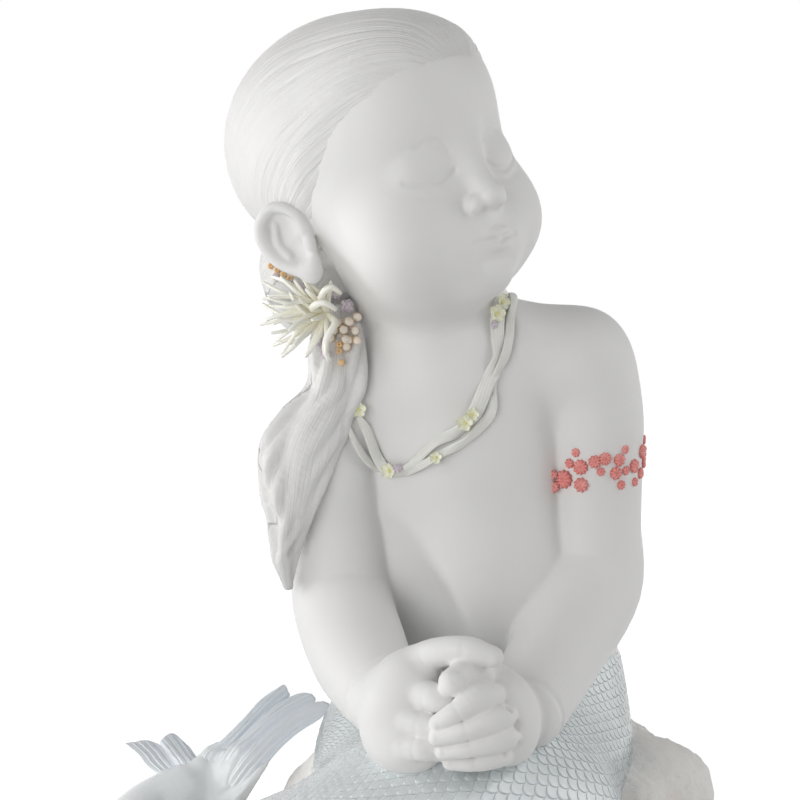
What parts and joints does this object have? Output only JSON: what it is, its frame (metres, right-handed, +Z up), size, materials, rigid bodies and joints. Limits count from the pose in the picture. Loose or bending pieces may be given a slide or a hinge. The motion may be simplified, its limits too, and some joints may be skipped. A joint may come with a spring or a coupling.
{
  "type": "mermaid figurine",
  "caption": "Bisque porcelain mermaid child seated on a rock, hands clasped, eyes closed, with gathered hair, curled glazed tail, ribbon necklace, coral arm band and sea-flower hair ornament.",
  "frame": {"origin": "On the flat underside of the rock base, below the camera's aim point near the middle of the figure", "axes": "+Z up, the figure's front toward -Y, +X to the viewer's right when seen from the front"},
  "size_m": [0.2246, 0.1746, 0.3332],
  "materials": {
    "bisque": "matte white unglazed porcelain",
    "tail_glaze": "gloss pale blue glaze",
    "rock": "matte sandy bisque",
    "ribbon": "satin grey green",
    "petal": "satin pale yellow",
    "lilac": "matte lilac grey",
    "anemone": "gloss cream yellow",
    "pearl": "gloss cream",
    "gold": "gloss golden orange",
    "coral": "matte coral red"
  },
  "bodies": {
    "root": {"upper_body": "bisque", "tail": "tail_glaze", "rock_base": "rock", "necklace_ribbon_1": "ribbon", "necklace_ribbon_2": "ribbon", "hair_anemone": "anemone", "hair_pearls": "pearl", "hair_gold_beads": "gold", "hair_gold_drop": "gold", "necklace_flower_1": "petal", "necklace_flower_2": "petal", "necklace_flower_3": "petal", "necklace_flower_4": "petal", "necklace_flower_5": "petal", "necklace_flower_6": "petal", "necklace_flower_7": "petal", "necklace_bud_1": "lilac", "necklace_bud_2": "lilac", "necklace_bud_3": "lilac", "hair_coral_1": "lilac", "hair_coral_2": "lilac", "hair_coral_3": "lilac", "hair_coral_4": "lilac", "hair_coral_5": "lilac", "arm_coral_01": "coral", "arm_coral_02": "coral", "arm_coral_03": "coral", "arm_coral_04": "coral", "arm_coral_05": "coral", "arm_coral_06": "coral", "arm_coral_07": "coral", "arm_coral_08": "coral", "arm_coral_09": "coral", "arm_coral_10": "coral", "arm_coral_11": "coral", "arm_coral_12": "coral", "arm_coral_13": "coral", "arm_coral_14": "coral", "arm_coral_15": "coral", "arm_coral_16": "coral", "arm_coral_17": "coral", "arm_coral_18": "coral", "arm_coral_19": "coral", "arm_coral_20": "coral", "arm_coral_21": "coral", "arm_coral_22": "coral", "arm_coral_23": "coral", "arm_coral_24": "coral", "arm_coral_25": "coral", "arm_coral_26": "coral", "arm_coral_27": "coral", "arm_coral_28": "coral"}
  },
  "joints": []
}
